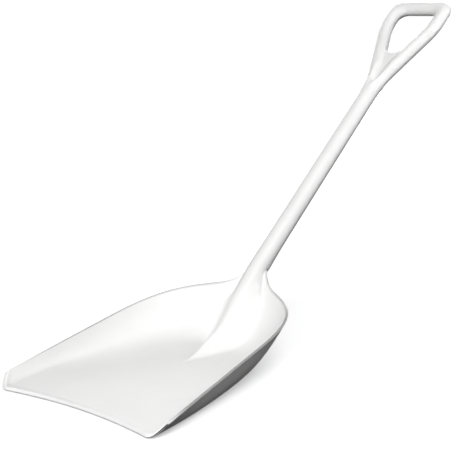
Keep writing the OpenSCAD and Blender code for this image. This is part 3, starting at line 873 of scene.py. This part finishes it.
def stage_material(name, colour, roughness):
    """A plain matt stage material, with its shader."""
    mat = bpy.data.materials.new(name)
    mat.use_nodes = True
    shader = mat.node_tree.nodes["Principled BSDF"]
    shader.inputs["Base Color"].default_value = (*colour, 1.0)
    shader.inputs["Roughness"].default_value = roughness
    return mat, shader


def light_nothing(piece):
    """Lets a stage piece be seen without adding its light to the shovel."""
    piece.visible_diffuse = False
    piece.visible_glossy = False


def floor_material():
    """The floor's pale colour, with a glow that lifts it to white away from the shovel."""
    mat, shader = stage_material("studio_floor", FLOOR_COLOUR, FLOOR_ROUGH)
    shader.inputs["Specular IOR Level"].default_value = 0.0
    shader.inputs["Emission Color"].default_value = (1.0, 1.0, 1.0, 1.0)
    tree = mat.node_tree
    where = tree.nodes.new("ShaderNodeTexCoord")
    far = tree.nodes.new("ShaderNodeVectorMath")
    far.operation = "DISTANCE"
    far.inputs[1].default_value = (LIGHT_AT[0], LIGHT_AT[1], 0.0)
    tree.links.new(where.outputs["Object"], far.inputs[0])
    glow = ramp(tree, far.outputs["Value"], GLOW_FROM, GLOW_TO, GLOW_NEAR, GLOW_FAR)
    glow.interpolation_type = "SMOOTHSTEP"
    tree.links.new(glow.outputs["Result"], shader.inputs["Emission Strength"])
    return mat


def make_floor():
    """A plain floor that doesn't light the shovel itself."""
    bpy.ops.mesh.primitive_plane_add(size=FLOOR_SIZE, location=(0.0, 0.0, FLOOR_Z))
    floor = bpy.context.object
    floor.name = "studio_floor"
    floor.data.materials.append(floor_material())
    light_nothing(floor)


def board_material():
    """The bounce board's plain grey."""
    return stage_material("bounce_board", (BOARD_SHADE, BOARD_SHADE, BOARD_SHADE), FLOOR_ROUGH)[0]


def make_board():
    """A grey bounce board that the camera doesn't see."""
    bpy.ops.mesh.primitive_plane_add(size=BOARD_SIZE, location=(0.0, 0.0, BOARD_Z))
    board = bpy.context.object
    board.name = "bounce_board"
    board.data.materials.append(board_material())
    board.visible_camera = False


def wall_material():
    """The wall's plain white glow."""
    mat = bpy.data.materials.new("studio_wall")
    mat.use_nodes = True
    shader = mat.node_tree.nodes["Principled BSDF"]
    shader.inputs["Emission Color"].default_value = (1.0, 1.0, 1.0, 1.0)
    shader.inputs["Emission Strength"].default_value = 1.0
    return mat


def make_wall():
    """A plain white wall all round, so that no edge of the floor shows."""
    bpy.ops.mesh.primitive_uv_sphere_add(
        segments=WALL_SEGMENTS, ring_count=WALL_RINGS, radius=WALL_FAR)
    dome = bpy.context.object
    dome.name = "studio_wall"
    dome.data.materials.append(wall_material())
    dome.visible_shadow = False
    light_nothing(dome)


def area_light(name, place, target, size, watts):
    """A square soft box that points at its target."""
    data = bpy.data.lights.new(name, "AREA")
    data.shape = "SQUARE"
    data.size = size
    data.energy = watts
    light = bpy.data.objects.new(name, data)
    bpy.context.scene.collection.objects.link(light)
    light.location = place
    light.rotation_euler = (Vector(target) - Vector(place)).to_track_quat("-Z", "Y").to_euler()


def make_lights():
    """The soft boxes round the shovel, the small light beside its handle and a faint white world."""
    for name, azimuth, height, size, watts in LIGHTS:
        a, e = math.radians(azimuth), math.radians(height)
        toward = np.array([math.sin(a) * math.cos(e), -math.cos(a) * math.cos(e), math.sin(e)])
        area_light(name, LIGHT_FAR * toward + LIGHT_AT, LIGHT_AT, size, watts)
    area_light("handle side light", HANDLE_LIGHT_AT, HANDLE_LIGHT_TO, HANDLE_LIGHT_SIZE,
               HANDLE_LIGHT_WATTS)
    world = bpy.data.worlds.new("studio")
    world.use_nodes = True
    background = world.node_tree.nodes["Background"]
    background.inputs["Color"].default_value = (1.0, 1.0, 1.0, 1.0)
    background.inputs["Strength"].default_value = WORLD_STRENGTH
    bpy.context.scene.world = world


# ---------------------------------------------------------------- the scene

bpy.context.scene.view_settings.view_transform = "Standard"
bpy.context.scene.view_settings.look = "None"

white, grey, foam = white_polypropylene(), spigot_plastic(), core_foam()
blade_piece(white)
shaft_piece(white)
grip_piece(white)

NODE_MATERIALS = {"neck_spigot": grey, "grip_spigot": grey, "shaft_core": foam, "joint_pins": white}
for node_name, node_material in NODE_MATERIALS.items():
    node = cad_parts[node_name]
    node.data.materials.clear()
    node.data.materials.append(node_material)

make_camera()
make_floor()
make_board()
make_wall()
make_lights()
